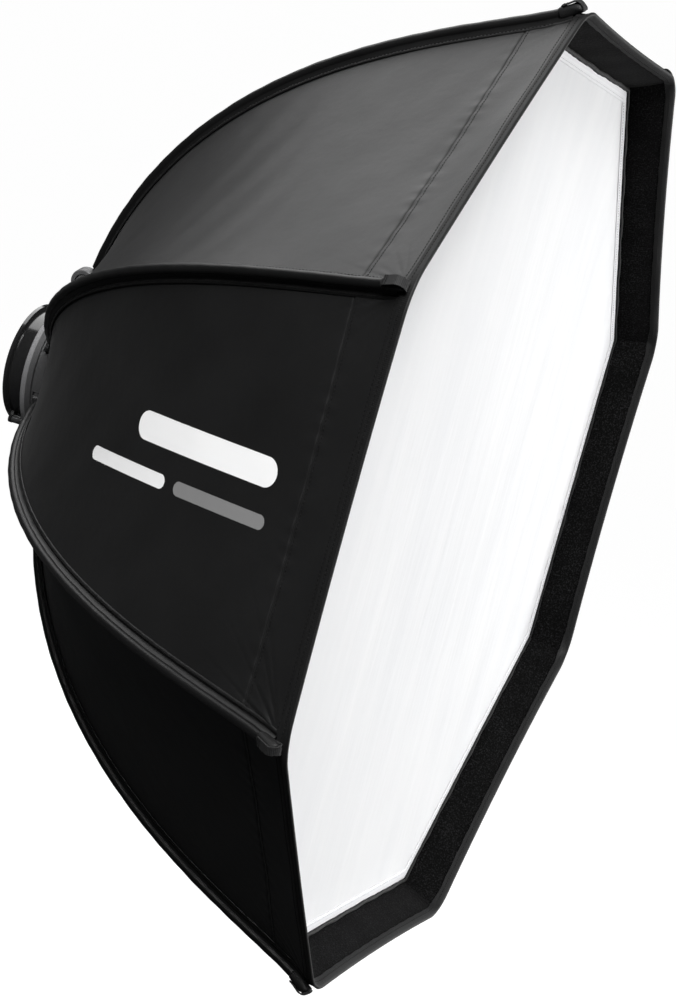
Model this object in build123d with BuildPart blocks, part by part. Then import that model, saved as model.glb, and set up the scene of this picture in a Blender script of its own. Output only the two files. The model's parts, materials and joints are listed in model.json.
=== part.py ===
"""Octagonal softbox on a rotating speed ring, in millimetres.

The light's axis runs along Y: the mount collar is behind, at the origin, and the
white front faces -Y. +Z is up. Rods are numbered anticlockwise from +X, seen from
the front, and every part that repeats is named after the rod that carries it.
"""

import os
from math import atan2, cos, degrees, radians, sin

from build123d import *

os.makedirs("parts", exist_ok=True)

# Eight rods, 45 degrees apart, so that the octagon has flats at the sides and top
ROD_COUNT = 8
STEP = 360 / ROD_COUNT
HALF = STEP / 2

# Rod: centre line in its meridian plane, as (radius, Y) Bezier poles
ROD_POLES = ((65.6, -48.0), (397.3, -118.0), (449.9, -468.3), (487.0, -512.5))
ROD_R = 2.75
CAP_R = 3.8
CAP_LENGTH = 14.0
NOSE_R = 3.1
NOSE_LENGTH = 1.5
CAP_OVERLAP = 3.0
SOCKET_START = 7.0

# Shell: outer and inner faces along a corner, 1 mm apart, as (radius, Y) Bezier poles
SHELL_POLES = ((84.1, -57.0), (402.6, -138.4), (445.2, -479.2), (488.4, -523.0))
INNER_POLES = ((83.81, -57.96), (401.95, -139.27), (444.2, -479.99), (487.64, -523.0))
SEAM_GAP = 0.2
GORE_REACH = 215.0
WEDGE_REACH = 700.0

# Front diffuser, set back from the front edge
DIFFUSER_Y = -479.0
DIFFUSER_R = 460.0
DIFFUSER_WALL = 1.0

# Mount collar and its rubber liner: the lamp head slides in from behind
BORE_R = 50.0
LINER_R = 52.0
LINER_LENGTH = 42.0
COLLAR_R = 59.0
COLLAR_LENGTH = 26.0
RIM_R = 63.0
RIM_WIDTH = 4.0
JOURNAL_R = 54.0
JOURNAL_END = 43.0
SLOT_WIDTH = 4.0
SLOT_LENGTH = 22.0

# Retaining ring in a groove of the journal
GROOVE_R = 52.8
RETAINER_R = 55.6
RETAINER_Y = -38.3
RETAINER_WIDTH = 2.0

# Speed ring: rear and front plates that turn on the journal
RUNNING_GAP = 0.05
PLATE_R = 73.0
REAR_PLATE_Y = -26.1
PLATE_SPLIT_Y = -32.0
FRONT_PLATE_Y = -38.0
SCREW_PITCH_R = 67.3
SCREW_R = 1.5
SCREW_HEAD_R = 2.8
SCREW_HEAD_DEPTH = 2.4
SCREW_LENGTH = 9.5
HEX_R = 1.5

# Rod holders, each on a pin in a channel between two blocks of the front plate
PIVOT = (60.5, -46.9)
PIN_R = 2.0
PIN_GAP = 0.05
HOLDER_WIDTH = 14.0
HOLDER_HEIGHT = 11.0
HOLDER_REACH = 20.0
HOLDER_SLIT = 1.6
CHANNEL_GAP = 0.3
CHANNEL_FLOOR_Y = -39.0
PIN_OVERHANG = 4.0
NECK_R = 69.5
NECK_END_Y = -41.0
BLOCK_INNER_R = 56.2
BLOCK_OUTER_R = 72.0
BLOCK_FRONT_Y = -51.5

# Clamp lever, hinged on ears beside the collar's slot
LEVER_ANGLE = 240.0
LEVER_PIN_R = 1.5
LEVER_PIVOT_R = 66.5
LEVER_Y = -14.0
LEVER_WIDTH = 11.0
LEVER_INNER_R = 61.5
LEVER_OUTER_R = 65.5
LEVER_SWEEP = 62.0
CLAMP_EAR_WIDTH = 3.5

# Rounded guard on the root of rod 3, with an arched slit in each side
GUARD_ROD = 3
GUARD_CENTRE = (105.0, -53.5)
GUARD_R = 15.0
GUARD_WIDTH = 12.0
GUARD_FOOT = 3.0
GUARD_BORE_R = 2.8
GUARD_SLIT_R = 10.5
GUARD_SLIT = 1.4
GUARD_SLIT_DEPTH = 3.0


def meridian(angle):
    """Plane through the axis: local x is the radius, local y is Y."""
    a = radians(angle)
    return Plane((0, 0, 0), x_dir=(cos(a), 0, sin(a)), z_dir=(-sin(a), 0, cos(a)))


def facing_back(y, angle=0.0):
    """Plane across the axis at y, with its normal along +Y."""
    a = radians(angle)
    return Plane((0, y, 0), x_dir=(cos(a), 0, sin(a)), z_dir=(0, 1, 0))


def polar(radius, angle):
    """A point of a plane made by facing_back, whose local y is -Z when angle is 0."""
    a = radians(angle)
    return (radius * cos(a), -radius * sin(a))


def save(part, name):
    part.label = name
    export_step(part, f"parts/{name}.step")


ROD_DIRECTION = degrees(
    atan2(ROD_POLES[1][1] - ROD_POLES[0][1], ROD_POLES[1][0] - ROD_POLES[0][0])
)


# ---------------------------------------------------------------- mount collar

# Glossy collar: rear rim, grip cylinder and the journal that the speed ring turns on
with BuildPart() as mount_collar:
    with BuildSketch(meridian(0)):
        with BuildLine():
            Polyline(
                (LINER_R, 0),
                (RIM_R, 0),
                (RIM_R, -RIM_WIDTH),
                (COLLAR_R, -RIM_WIDTH - 1),
                (COLLAR_R, -COLLAR_LENGTH),
                (JOURNAL_R, -COLLAR_LENGTH),
                (JOURNAL_R, RETAINER_Y),
                (GROOVE_R, RETAINER_Y),
                (GROOVE_R, RETAINER_Y - RETAINER_WIDTH),
                (JOURNAL_R, RETAINER_Y - RETAINER_WIDTH),
                (JOURNAL_R, -JOURNAL_END),
                (LINER_R, -JOURNAL_END),
                close=True,
            )
        make_face()
    revolve(axis=Axis.Y)
    fillet(mount_collar.edges().filter_by(GeomType.CIRCLE).group_by(Axis.Y)[-1][-1], 0.8)
    # Ears for the clamp lever
    with BuildSketch(facing_back(LEVER_Y + LEVER_WIDTH / 2 + 0.3)):
        with Locations(polar((COLLAR_R + LEVER_PIVOT_R) / 2 - 1, LEVER_ANGLE)):
            Rectangle(LEVER_PIVOT_R - COLLAR_R + 4, 8, rotation=-LEVER_ANGLE)
        with Locations(polar(LEVER_PIVOT_R, LEVER_ANGLE)):
            Circle(4)
    extrude(amount=CLAMP_EAR_WIDTH)
    with BuildSketch(facing_back(LEVER_Y - LEVER_WIDTH / 2 - 0.3)):
        with Locations(polar((COLLAR_R + LEVER_PIVOT_R) / 2 - 1, LEVER_ANGLE)):
            Rectangle(LEVER_PIVOT_R - COLLAR_R + 4, 8, rotation=-LEVER_ANGLE)
        with Locations(polar(LEVER_PIVOT_R, LEVER_ANGLE)):
            Circle(4)
    extrude(amount=-CLAMP_EAR_WIDTH)
    with BuildSketch(facing_back(0)):
        with Locations(polar(LEVER_PIVOT_R, LEVER_ANGLE)):
            Circle(LEVER_PIN_R)
    extrude(amount=-COLLAR_LENGTH, mode=Mode.SUBTRACT)
    # The bore is trimmed again, because the ears start inside the collar's wall
    with BuildSketch(facing_back(0)):
        Circle(LINER_R)
    extrude(amount=-COLLAR_LENGTH, mode=Mode.SUBTRACT)
    # Slot that lets the collar close on the lamp head
    with BuildSketch(facing_back(0)):
        with Locations(polar((LINER_R + RIM_R) / 2, LEVER_ANGLE + 8)):
            Rectangle(RIM_R - LINER_R + 6, SLOT_WIDTH, rotation=-LEVER_ANGLE - 8)
    extrude(amount=-SLOT_LENGTH, mode=Mode.SUBTRACT)
save(mount_collar.part, "mount_collar")

with BuildPart() as clamp_liner:
    with BuildSketch(facing_back(0)):
        Circle(LINER_R)
        Circle(BORE_R, mode=Mode.SUBTRACT)
    extrude(amount=-LINER_LENGTH)
    with BuildSketch(facing_back(0)):
        with Locations(polar((BORE_R + LINER_R) / 2, LEVER_ANGLE + 8)):
            Rectangle(LINER_R - BORE_R + 2, SLOT_WIDTH, rotation=-LEVER_ANGLE - 8)
    extrude(amount=-SLOT_LENGTH, mode=Mode.SUBTRACT)
save(clamp_liner.part, "clamp_liner")

with BuildPart() as retaining_ring:
    with BuildSketch(facing_back(RETAINER_Y)):
        Circle(RETAINER_R)
        Circle(GROOVE_R, mode=Mode.SUBTRACT)
    extrude(amount=-RETAINER_WIDTH)
save(retaining_ring.part, "retaining_ring")

# Curved lever that lies along the collar when it is closed
with BuildPart() as clamp_lever:
    with BuildSketch(facing_back(LEVER_Y - LEVER_WIDTH / 2)):
        Circle(LEVER_OUTER_R)
        Circle(LEVER_INNER_R, mode=Mode.SUBTRACT)
        with BuildLine(mode=Mode.PRIVATE) as sector:
            Polyline(
                (0, 0),
                polar(120, LEVER_ANGLE),
                polar(120, LEVER_ANGLE + LEVER_SWEEP / 2),
                polar(120, LEVER_ANGLE + LEVER_SWEEP),
                close=True,
            )
        make_face(sector.edges(), mode=Mode.INTERSECT)
        with Locations(polar(LEVER_PIVOT_R, LEVER_ANGLE)):
            Circle(3.6)
            Circle(LEVER_PIN_R + PIN_GAP, mode=Mode.SUBTRACT)
        with Locations(polar(LEVER_OUTER_R - 1.5, LEVER_ANGLE + LEVER_SWEEP)):
            Circle(2.2)
    extrude(amount=LEVER_WIDTH)
save(clamp_lever.part, "clamp_lever")

with BuildPart() as lever_pin:
    with BuildSketch(facing_back(LEVER_Y + LEVER_WIDTH / 2 + 0.3 + CLAMP_EAR_WIDTH)):
        with Locations(polar(LEVER_PIVOT_R, LEVER_ANGLE)):
            Circle(LEVER_PIN_R)
    extrude(amount=-(LEVER_WIDTH + 0.6 + 2 * CLAMP_EAR_WIDTH))
save(lever_pin.part, "lever_pin")


# ------------------------------------------------------------------ speed ring

screw_spots = [polar(SCREW_PITCH_R, STEP * i) for i in range(ROD_COUNT)]
PIN_HALF = HOLDER_WIDTH / 2 + CHANNEL_GAP + PIN_OVERHANG

with BuildPart() as speedring_rear_plate:
    with BuildSketch(facing_back(REAR_PLATE_Y)):
        Circle(PLATE_R)
        Circle(JOURNAL_R + RUNNING_GAP, mode=Mode.SUBTRACT)
    extrude(amount=PLATE_SPLIT_Y - REAR_PLATE_Y)
    chamfer(speedring_rear_plate.edges().group_by(Axis.Y)[-1].sort_by(SortBy.RADIUS)[-1], 1)
    with Locations(facing_back(REAR_PLATE_Y)):
        with Locations(*screw_spots):
            CounterBoreHole(SCREW_R, SCREW_HEAD_R, SCREW_HEAD_DEPTH)
save(speedring_rear_plate.part, "speedring_rear_plate")

with BuildPart() as speedring_front_plate:
    with BuildSketch(facing_back(PLATE_SPLIT_Y)):
        Circle(PLATE_R)
        Circle(JOURNAL_R + RUNNING_GAP, mode=Mode.SUBTRACT)
    extrude(amount=FRONT_PLATE_Y - PLATE_SPLIT_Y)
    # A ring of blocks stands on a narrower neck
    for outer, start, end in (
        (NECK_R, FRONT_PLATE_Y, NECK_END_Y),
        (BLOCK_OUTER_R, NECK_END_Y, BLOCK_FRONT_Y),
    ):
        with BuildSketch(facing_back(start)):
            Circle(outer)
            Circle(BLOCK_INNER_R, mode=Mode.SUBTRACT)
        extrude(amount=end - start)
    # The channels for the rod holders cut the blocks apart
    for i in range(ROD_COUNT):
        rod_plane = meridian(HALF + STEP * i)
        with BuildSketch(rod_plane):
            with Locations((PLATE_R, CHANNEL_FLOOR_Y)):
                Rectangle(50, 30, align=(Align.CENTER, Align.MAX))
        extrude(amount=HOLDER_WIDTH / 2 + CHANNEL_GAP, both=True, mode=Mode.SUBTRACT)
        with BuildSketch(rod_plane):
            with Locations(PIVOT):
                Circle(PIN_R)
        extrude(amount=PIN_HALF, both=True, mode=Mode.SUBTRACT)
    with BuildSketch(facing_back(PLATE_SPLIT_Y)):
        with Locations(*screw_spots):
            Circle(SCREW_R)
    extrude(amount=-(SCREW_LENGTH - (REAR_PLATE_Y - PLATE_SPLIT_Y) + SCREW_HEAD_DEPTH),
            mode=Mode.SUBTRACT)
save(speedring_front_plate.part, "speedring_front_plate")

# Eight cap screws hold the two plates together
with BuildPart() as speedring_screws:
    with BuildSketch(facing_back(REAR_PLATE_Y)):
        with Locations(*screw_spots):
            Circle(SCREW_HEAD_R)
    extrude(amount=-SCREW_HEAD_DEPTH)
    with BuildSketch(facing_back(REAR_PLATE_Y - SCREW_HEAD_DEPTH)):
        with Locations(*screw_spots):
            Circle(SCREW_R)
    extrude(amount=-SCREW_LENGTH)
    with BuildSketch(facing_back(REAR_PLATE_Y)):
        with Locations(*screw_spots):
            RegularPolygon(HEX_R, 6)
    extrude(amount=-1.4, mode=Mode.SUBTRACT)
save(speedring_screws.part, "speedring_screws")

with BuildPart() as holder_pins:
    for i in range(ROD_COUNT):
        with BuildSketch(meridian(HALF + STEP * i)):
            with Locations(PIVOT):
                Circle(PIN_R)
        extrude(amount=PIN_HALF, both=True)
save(holder_pins.part, "holder_pins")


# --------------------------------------------------------------- rods, holders


def along_rod(distance):
    """Point of the rod's straight root, measured from the pivot."""
    a = radians(ROD_DIRECTION)
    return (PIVOT[0] + distance * cos(a), PIVOT[1] + distance * sin(a))


def make_holder(number):
    plane = meridian(HALF + STEP * (number - 1))
    with BuildPart() as rod_holder:
        with BuildSketch(plane):
            with Locations(PIVOT):
                Circle(HOLDER_HEIGHT / 2)
            with Locations(along_rod(HOLDER_REACH / 2)):
                Rectangle(HOLDER_REACH, HOLDER_HEIGHT, rotation=ROD_DIRECTION)
        extrude(amount=HOLDER_WIDTH / 2, both=True)
        outer = Plane(plane.from_local_coords(along_rod(HOLDER_REACH) + (0,)),
                      x_dir=plane.z_dir,
                      z_dir=(plane.from_local_coords(along_rod(1) + (0,))
                             - plane.from_local_coords(along_rod(0) + (0,))))
        fillet(rod_holder.faces().sort_by_distance(outer.origin)[0].edges(), 2.4)
        with BuildSketch(outer):
            Circle(ROD_R)
        extrude(amount=-(HOLDER_REACH - SOCKET_START), mode=Mode.SUBTRACT)
        # Slit across the socket's rear wall, which lets it grip the rod
        with BuildSketch(outer):
            with Locations((0, HOLDER_HEIGHT / 2)):
                Rectangle(HOLDER_SLIT, HOLDER_HEIGHT)
        extrude(amount=-(HOLDER_REACH - SOCKET_START - 2), mode=Mode.SUBTRACT)
        with BuildSketch(plane):
            with Locations(PIVOT):
                Circle(PIN_R + PIN_GAP)
        extrude(amount=HOLDER_WIDTH, both=True, mode=Mode.SUBTRACT)
    save(rod_holder.part, f"rod_holder_{number}")


def make_rod(number):
    plane = meridian(HALF + STEP * (number - 1))
    with BuildPart() as rod:
        with BuildLine(plane):
            root = Line(along_rod(SOCKET_START), ROD_POLES[0])
            whole_bow = Bezier(*ROD_POLES, mode=Mode.PRIVATE)
            bow = add(whole_bow.trim(0, 1 - CAP_LENGTH / whole_bow.length))
            path = Wire([root.edge(), bow.edge()])
        with BuildSketch(Plane(root @ 0, x_dir=plane.z_dir, z_dir=root % 0)):
            Circle(ROD_R)
        sweep(path=path)
        # End cap with a stepped nose; it covers the rod's last few millimetres
        forward = path % 1
        cap = Plane(path @ 1 - forward * CAP_OVERLAP, x_dir=plane.z_dir, z_dir=forward)
        with BuildSketch(cap):
            Circle(CAP_R)
        extrude(amount=CAP_OVERLAP + CAP_LENGTH - NOSE_LENGTH)
        with BuildSketch(cap):
            Circle(NOSE_R)
        extrude(amount=CAP_OVERLAP + CAP_LENGTH)
    save(rod.part, f"rod_{number}")


for n in range(1, ROD_COUNT + 1):
    make_holder(n)
    make_rod(n)

# The guard stands on the rear side of its rod, clear of the shell
guard_plane = meridian(HALF + STEP * (GUARD_ROD - 1))
with BuildPart() as rod_guard:
    with BuildSketch(guard_plane):
        with Locations(GUARD_CENTRE):
            Circle(GUARD_R)
        with BuildLine(mode=Mode.PRIVATE) as rod_line:
            guard_axis = Bezier(*ROD_POLES)
        start, end = guard_axis @ 0.02, guard_axis @ 0.12
        lean = degrees(atan2(end.Y - start.Y, end.X - start.X))
        foot = start + (end - start).rotate(Axis.Z, -90).normalized() * GUARD_FOOT
        with Locations(foot):
            Rectangle(200, 60, rotation=lean, align=(Align.CENTER, Align.MAX),
                      mode=Mode.SUBTRACT)
    extrude(amount=GUARD_WIDTH / 2, both=True)
    fillet(rod_guard.edges().filter_by(GeomType.CIRCLE), 1.5)
    with BuildLine(guard_plane):
        bore_path = Bezier(*ROD_POLES).trim(0, 0.2)
    with BuildSketch(Plane(bore_path @ 0, x_dir=guard_plane.z_dir, z_dir=bore_path % 0)):
        Circle(GUARD_BORE_R)
    sweep(path=bore_path, mode=Mode.SUBTRACT)
    for side in (-1, 1):
        with BuildSketch(guard_plane.offset(side * GUARD_WIDTH / 2)):
            with Locations(GUARD_CENTRE):
                Circle(GUARD_SLIT_R)
                Circle(GUARD_SLIT_R - GUARD_SLIT, mode=Mode.SUBTRACT)
        extrude(amount=-side * GUARD_SLIT_DEPTH, mode=Mode.SUBTRACT)
save(rod_guard.part, "rod_guard")


# ----------------------------------------------------------- shell and diffuser

# A flat stands nearer the axis than a corner by this share
FLAT = cos(radians(HALF))


def front_wedge(angle, side, y):
    """Plane across the axis at y, with local x along a rod and local y to one side."""
    a = radians(angle)
    return Plane((0, y, 0), x_dir=(cos(a), 0, sin(a)), z_dir=(0, -side, 0))


def wedge_corners(corner_r):
    """Triangle from the axis to a corner and to the middle of the flat beside it."""
    foot = corner_r * FLAT
    return (0, 0), (corner_r, 0), (foot * cos(radians(HALF)), foot * sin(radians(HALF)))


def make_shell_half(number, side, name):
    """Half a gore of the shell, from its rod to the middle of the flat."""
    rod_angle = HALF + STEP * (number - 1)
    with BuildPart() as shell_half:
        with BuildSketch(meridian(rod_angle + side * HALF)):
            with BuildLine():
                outer = Bezier(*[(r * FLAT, y) for r, y in SHELL_POLES])
                inner = Bezier(*[(r * FLAT, y) for r, y in INNER_POLES])
                Line(outer @ 0, inner @ 0)
                Line(outer @ 1, inner @ 1)
            make_face()
        extrude(amount=GORE_REACH, both=True)
        with BuildSketch(front_wedge(rod_angle, side, 0)):
            Polygon(*wedge_corners(WEDGE_REACH), align=None)
            offset(amount=-SEAM_GAP, kind=Kind.INTERSECTION)
        extrude(amount=side * WEDGE_REACH, mode=Mode.INTERSECT)
    save(shell_half.part, name)


def make_diffuser_half(number, side, name):
    """Flat wedge from the axis to one corner and the middle of one flat."""
    with BuildPart() as wedge:
        with BuildSketch(front_wedge(HALF + STEP * (number - 1), side, DIFFUSER_Y)):
            Polygon(*wedge_corners(DIFFUSER_R), align=None)
            offset(amount=-SEAM_GAP, kind=Kind.INTERSECTION)
        extrude(amount=-side * DIFFUSER_WALL)
    save(wedge.part, name)


for n in range(1, ROD_COUNT + 1):
    for side, letter in ((1, "a"), (-1, "b")):
        make_shell_half(n, side, f"shell_half_{n}{letter}")
        make_diffuser_half(n, side, f"diffuser_wedge_{n}{letter}")
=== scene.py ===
"""Octagonal softbox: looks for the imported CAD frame, in metres."""
import json
import math

import bpy
import numpy as np
from mathutils import Matrix, Vector


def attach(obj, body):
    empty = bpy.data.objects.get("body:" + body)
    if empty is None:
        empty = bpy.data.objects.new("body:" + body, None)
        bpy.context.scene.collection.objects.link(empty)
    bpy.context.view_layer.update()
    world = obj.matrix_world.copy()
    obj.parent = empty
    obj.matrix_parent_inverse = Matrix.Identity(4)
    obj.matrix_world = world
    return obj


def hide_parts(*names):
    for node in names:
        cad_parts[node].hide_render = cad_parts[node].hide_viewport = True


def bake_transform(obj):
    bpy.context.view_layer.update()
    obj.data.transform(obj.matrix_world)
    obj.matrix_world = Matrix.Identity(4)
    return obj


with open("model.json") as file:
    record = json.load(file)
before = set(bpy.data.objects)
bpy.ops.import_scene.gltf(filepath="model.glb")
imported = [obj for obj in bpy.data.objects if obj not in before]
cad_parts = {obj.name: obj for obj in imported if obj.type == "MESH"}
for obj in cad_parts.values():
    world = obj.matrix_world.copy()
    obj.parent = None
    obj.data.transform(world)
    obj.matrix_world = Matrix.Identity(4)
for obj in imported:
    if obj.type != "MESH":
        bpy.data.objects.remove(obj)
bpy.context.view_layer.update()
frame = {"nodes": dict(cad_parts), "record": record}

NODES = frame["nodes"]

# ------------------------------------------------------------------ dimensions

MM = 0.001
HALF = math.radians(22.5)
FLAT = math.cos(HALF)
SHELL_POLES = ((84.1, -57.0), (402.6, -138.4), (445.2, -479.2), (488.4, -523.0))
ROD_POLES = ((65.6, -48.0), (397.3, -118.0), (449.9, -468.3), (487.0, -512.5))
CLOTH = 0.8
STITCH_PITCH = 3.5
STITCH_LENGTH = 2.5
DIFFUSER_Y = -479.0
DIFFUSER_R = 460.0
# Folding: room kept beside the diffuser, and how gently the cloth turns into its closed place
FOLD_ROOM = 5.5
FOLD_EASE = 3.0
FOLD_STEPS = 14


def bezier(poles, count):
    t = np.linspace(0, 1, count)[:, None]
    p = np.array(poles, float)
    return (1 - t) ** 3 * p[0] + 3 * (1 - t) ** 2 * t * p[1] + 3 * (1 - t) * t * t * p[2] + t ** 3 * p[3]


PROFILE = bezier(SHELL_POLES, 1201)
ALONG = np.concatenate([[0], np.cumsum(np.linalg.norm(np.diff(PROFILE, axis=0), axis=1))])
LENGTH = ALONG[-1]
SEAM_S = LENGTH - 57.0
LIP_S = float(np.interp(-DIFFUSER_Y, -PROFILE[:, 1], ALONG))


def corner(s):
    """Corner radius and Y at distance s along a corner, going straight on past both ends."""
    s = np.asarray(s, float)
    inside = np.clip(s, 0, LENGTH)
    ry = np.stack([np.interp(inside, ALONG, PROFILE[:, k]) for k in (0, 1)], -1)
    return ry + corner_tangent(inside) * (s - inside)[..., None]


def corner_tangent(s):
    s = np.clip(s, 1.0, LENGTH - 1.0)
    d = np.stack([np.interp(s + 1, ALONG, PROFILE[:, k]) - np.interp(s - 1, ALONG, PROFILE[:, k]) for k in (0, 1)], -1)
    return d / np.linalg.norm(d, axis=-1, keepdims=True)


def make_rod_lift():
    """Where the rod's centre line runs: distance along the corner, and height over it."""
    rod = bezier(ROD_POLES, 300)
    away = np.linalg.norm(rod[:, None] - PROFILE[None], axis=-1)
    near = away.argmin(1)
    return ALONG[near], away.min(1)


ROD_S, ROD_H = make_rod_lift()


def rod_lift(s):
    keep = (ROD_S > 1) & (ROD_S < LENGTH - 1)
    return np.interp(s, ROD_S[keep], ROD_H[keep])


def half_width(s):
    return corner(s)[..., 0] * math.sin(HALF)


def smooth(x):
    x = np.clip(x, 0, 1)
    return x * x * (3 - 2 * x)


# Creases beside the pockets: (rod, side) to depth in mm
CREASE = {(5, -1): 3.2, (5, 1): 1.0, (6, -1): 2.4, (6, 1): 1.4, (4, 1): 1.5, (4, -1): 0.9, (3, 1): 0.8}

# Creases that fan out from a corner: slope off the corner line, share of the depth and sharpness
CREASE_FAN = ((0.27, 1.0, 1.7), (0.62, 0.5, 2.4), (1.15, 0.32, 3.2), (1.9, 0.2, 4.0))


class Gore:
    """One of the eight panels between two rods. v is the distance across it from its middle line,
    in mm, and s the distance forward from its rear edge."""

    def __init__(self, number):
        a = math.radians(45.0 * number)
        self.number = number
        self.out = np.array([math.cos(a), 0, math.sin(a)])
        self.across = np.array([-math.sin(a), 0, math.cos(a)])
        self.rng = np.random.default_rng(40 + number)
        self.waves = [(self.rng.uniform(60, 170), self.rng.uniform(45, 120), self.rng.uniform(0, 6.28),
                       self.rng.uniform(0.04, 0.14)) for _ in range(5)]

    def normal(self, s):
        t = corner_tangent(s) * np.array([FLAT, 1.0])
        t = t / np.linalg.norm(t, axis=-1, keepdims=True)
        return (-t[..., 1])[..., None] * self.out + t[..., 0][..., None] * np.array([0, 1.0, 0])

    def dip(self, s, v):
        """How far the stretched cloth lies inside the straight line between its rods."""
        w = half_width(np.clip(s, 0, LENGTH))
        x = np.clip(np.abs(v) / w, 0, 1)
        run = np.clip(s / LENGTH, 0, 1)
        d = 8.5 * np.sin(math.pi * run ** 0.9) ** 0.85 * (1 - x * x)
        calm = (1 - x ** 4) * smooth(s / 60) * smooth((LENGTH - s) / 12)
        for lw, ls, phase, amp in self.waves:
            d = d + amp * calm * np.sin(6.283 * (v / lw + s / ls) + phase) * (0.5 + run)
        # Hem allowance under the border seam, and the seam's own groove
        d = d - 0.45 * smooth((s - SEAM_S + 1.2) / 1.6)
        d = d + 0.7 * np.exp(-((s - SEAM_S + 0.8) / 1.1) ** 2)
        near = np.exp(-((s - SEAM_S) / 9.0) ** 2)
        d = d + near * calm * 0.32 * np.sin(v / 3.1 + 1.7 * np.sin(v / 17 + self.number))
        for side in (1, -1):
            rod = (self.number if side == -1 else self.number + 1)
            rod = 8 if rod == 0 else rod
            depth = CREASE.get((rod, -side), 0.5)
            e = w - side * v
            back = LENGTH - 11 - s
            reach = smooth((back + 2) / 9) * np.exp(-np.clip(back, 0, None) / 24.0)
            for k, (slope, share, sharp) in enumerate(CREASE_FAN):
                line = 3.5 + slope * (1 + 0.14 * np.sin(rod * 2.1 + k * 1.7 + side)) * back
                gap = (e - line) / sharp
                d = d + depth * share * reach * (np.exp(-gap ** 2) - 0.5 * np.exp(-((gap - 2.1) / 1.5) ** 2))
            # The front edge rounds off inside each corner
            d = d + 4.6 * np.clip(1 - e / 25, 0, 1) ** 2 * smooth((s - LENGTH + 11) / 11)
        return d

    def point(self, s, v, lift=0.0):
        """Points of the outer face, in mm, lifted along its normal."""
        s, v = np.broadcast_arrays(np.asarray(s, float), np.asarray(v, float))
        ry = corner(s)
        flat = (ry[..., 0] * FLAT)[..., None] * self.out + v[..., None] * self.across
        flat = flat + ry[..., 1][..., None] * np.array([0, 1.0, 0])
        e = half_width(np.clip(s, 0, LENGTH)) - np.abs(v)
        x = np.clip(v / half_width(np.clip(s, 0, LENGTH)), -1, 1)
        slack = 4.6 * np.clip(1 - e / 25, 0, 1) ** 2 * smooth((s - LENGTH + 26) / 26)
        slack = slack + (1.2 + 3.2 * (1 - x * x)) * smooth((s - LENGTH + 40) / 40)
        t = corner_tangent(s) * np.array([FLAT, 1.0])
        flat = flat - slack[..., None] * (t[..., :1] * self.out + t[..., 1:] * np.array([0, 1.0, 0]))
        return flat + self.normal(s) * (np.asarray(lift) - self.dip(s, v))[..., None]

    def face_normal(self, s, v):
        ds = self.point(s + 0.6, v) - self.point(s - 0.6, v)
        dv = self.point(s, v + 0.6) - self.point(s, v - 0.6)
        n = np.cross(dv, ds)
        return n / np.linalg.norm(n, axis=-1, keepdims=True)


GORES = [Gore(n) for n in range(8)]
JOINTS = {j["name"]: j for j in frame["record"]["behaviour"]["joints"]}


def turn(points, joint, share=1.0):
    """Points in mm turned by a share of a joint's whole range."""
    j = JOINTS[joint]
    axis, pos = np.array(j["axis"], float), np.array(j["pos_m"], float) / MM
    angle = np.radians(j["range_deg"][1]) * np.asarray(share, float)[..., None]
    p = points - pos
    along = (p @ axis)[..., None] * axis
    return pos + along + (p - along) * np.cos(angle) + np.cross(axis, p) * np.sin(angle)


def folded_wedge(gore, rod, letter):
    """Corners of the folded diffuser wedge in the gore's own frame: outwards, forwards and across."""
    a = HALF * (2 * rod - 1)
    at_rod = np.array([DIFFUSER_R * math.cos(a), DIFFUSER_Y, DIFFUSER_R * math.sin(a)])
    centre = np.array([0, DIFFUSER_Y, 0.0])
    middle = DIFFUSER_R * FLAT * gore.out + centre
    p = turn(turn(np.stack([at_rod, middle, centre]), f"front_hinge_{rod}{letter}"), f"fold_{rod}")
    return np.stack([p @ gore.out, p[:, 1], p @ gore.across], -1)


def rod_weight(gore, s, v):
    """How far the cloth turns with its flap when the ribs fold: 0 beside the rod and 1 on the gore's
    middle line. Between them, the cloth closes on the gore's other half, outside the diffuser."""
    s, v = np.broadcast_arrays(np.asarray(s, float), np.asarray(v, float))
    first_half = v.sum() < 0
    rod = (gore.number or 8) if first_half else gore.number + 1
    letter, own_side = ("a", -1) if first_half else ("b", 1)
    rest = gore.point(s, v)
    wedge = folded_wedge(gore, rod, letter)
    to_share = np.linalg.inv(np.stack([wedge[0, :2] - wedge[2, :2], wedge[1, :2] - wedge[2, :2]], 1))

    def room(share):
        """Distance from the gore's middle plane, and what the diffuser needs there."""
        p = turn(turn(rest, f"shell_hinge_{rod}{letter}", share), f"fold_{rod}")
        flat = np.stack([p @ gore.out, p[..., 1]], -1) - wedge[2, :2]
        near_rod = (flat @ to_share.T)[..., 0]
        near_rod = (near_rod + np.sqrt(near_rod ** 2 + 0.01)) / 2
        return own_side * (p @ gore.across), own_side * wedge[0, 2] * np.minimum(near_rod, 1.05) + FOLD_ROOM

    free = room(np.zeros(s.shape))[0]
    low, high = np.zeros(s.shape), np.ones(s.shape)
    for _ in range(FOLD_STEPS):
        middle = (low + high) / 2
        there, need = room(middle)
        extra = free - need
        short = there < need + (extra + np.sqrt(extra ** 2 + 4 * FOLD_EASE ** 2)) / 2
        low, high = np.where(short, middle, low), np.where(short, high, middle)
    held = smooth((half_width(np.clip(s, 0, LENGTH)) - np.abs(v) - 9.0) / 6.0)
    return np.where(np.abs(v) < 1e-6, 1.0, high * held)


# ----------------------------------------------------------------- mesh making


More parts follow.
